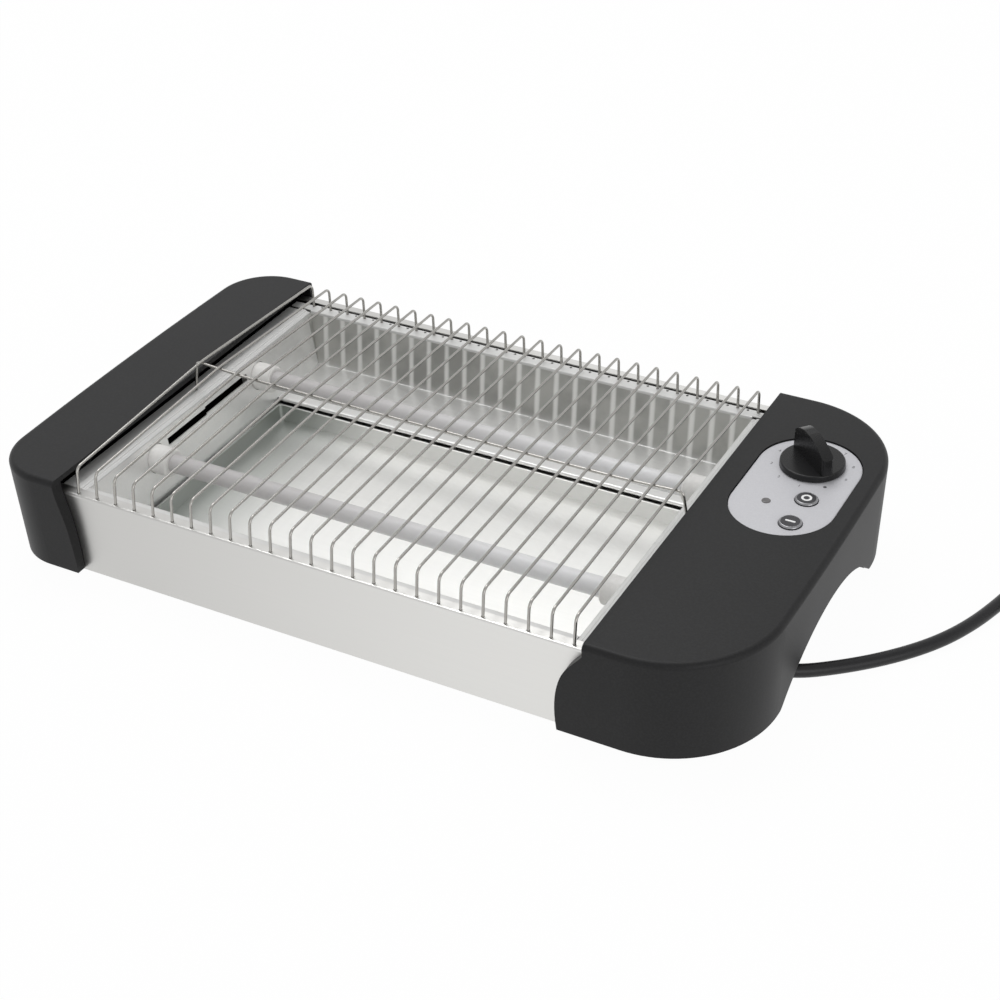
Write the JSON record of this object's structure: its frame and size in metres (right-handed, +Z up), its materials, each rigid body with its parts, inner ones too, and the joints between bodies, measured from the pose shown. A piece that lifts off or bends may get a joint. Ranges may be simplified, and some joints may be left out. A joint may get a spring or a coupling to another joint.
{
  "type": "bun toaster",
  "caption": "Flat-bed bun toaster with a wire grille over quartz heating tubes, black end caps, timer knob, push buttons and a slide-out crumb tray.",
  "frame": {"origin": "middle of the footprint of the body at table level, without the cord", "axes": "+X along the long side to the control end, +Y to the back, +Z up"},
  "size_m": [0.587, 0.3235, 0.0784],
  "materials": {
    "panel_steel": "bright steel with a fine lengthwise brushing",
    "zinc_steel": "plain zinc-plated sheet, no brushing",
    "bright_reflector": "bright rolled sheet, semi-gloss",
    "wire_chrome": "plated wire, mirror bright",
    "quartz": "translucent quartz, satin",
    "heater_wire": "grey heating wire, oxidised",
    "white_ceramic": "unglazed white, matte",
    "cap_plastic": "black moulded plastic, fine texture with a soft sheen",
    "base_plastic": "black moulded plastic, matte",
    "screw_steel": "plated screws",
    "foot_rubber": "black rubber, matte",
    "plate_silver": "silver lacquer, satin",
    "lamp_lens": "clear grey lens, glossy",
    "button_plastic": "black plastic with a polished edge",
    "switch_plastic": "dark moulded plastic, matte",
    "timer_steel": "plain steel",
    "knob_plastic": "black moulded plastic, satin",
    "tray_steel": "satin sheet",
    "terminal_plastic": "cream plastic, matte",
    "inner_lead": "pale woven sleeve over a wire",
    "cord_rubber": "black rubber sheath, satin",
    "plug_rubber": "black moulded plug, matte",
    "pin_brass": "nickel-plated pins"
  },
  "bodies": {
    "housing": {"front_panel": "panel_steel", "back_panel": "panel_steel", "left_chassis_plate": "zinc_steel", "right_chassis_plate": "zinc_steel", "base_plate": "zinc_steel", "tray_guides": "zinc_steel", "reflector_front": "bright_reflector", "reflector_back": "bright_reflector", "reflector_left_end": "bright_reflector", "reflector_right_end": "bright_reflector", "grille_wires": "wire_chrome", "grille_cross_wire": "wire_chrome", "quartz_tube_front": "quartz", "quartz_tube_back": "quartz", "heating_coils": "heater_wire", "ceramic_holders_left": "white_ceramic", "ceramic_holders_right": "white_ceramic", "heater_link": "heater_wire", "left_cap": "cap_plastic", "right_cap": "cap_plastic", "left_cap_base": "base_plastic", "right_cap_base": "base_plastic", "base_screws": "screw_steel", "rubber_feet": "foot_rubber", "control_plate": "plate_silver", "indicator_lens": "lamp_lens", "push_switches": "switch_plastic", "timer_body": "timer_steel", "terminal_block": "terminal_plastic", "timer_lead": "inner_lead", "strain_relief": "cord_rubber", "mains_lead": "cord_rubber", "cord_coil": "cord_rubber", "plug_body": "plug_rubber", "plug_pins": "pin_brass"},
    "knob": {"timer_knob": "knob_plastic", "timer_shaft": "timer_steel"},
    "ring_button": {"ring_button": "button_plastic"},
    "bar_button": {"bar_button": "button_plastic"},
    "tray": {"crumb_tray": "tray_steel"}
  },
  "joints": [
    {"name": "timer_turn", "type": "hinge", "parent": "housing", "child": "knob", "pos_m": [0.1776, 0.0623, 0.0602], "axis": [0, 0, 1], "range_deg": [-324, 0]},
    {"name": "ring_press", "type": "slide", "parent": "housing", "child": "ring_button", "axis": [0, 0, -1], "range_m": [0, 0.002], "stiffness_N_per_m": 300},
    {"name": "bar_press", "type": "slide", "parent": "housing", "child": "bar_button", "axis": [0, 0, -1], "range_m": [0, 0.002], "stiffness_N_per_m": 300},
    {"name": "tray_slide", "type": "slide", "parent": "housing", "child": "tray", "axis": [0, 1, 0], "range_m": [0, 0.15]}
  ]
}
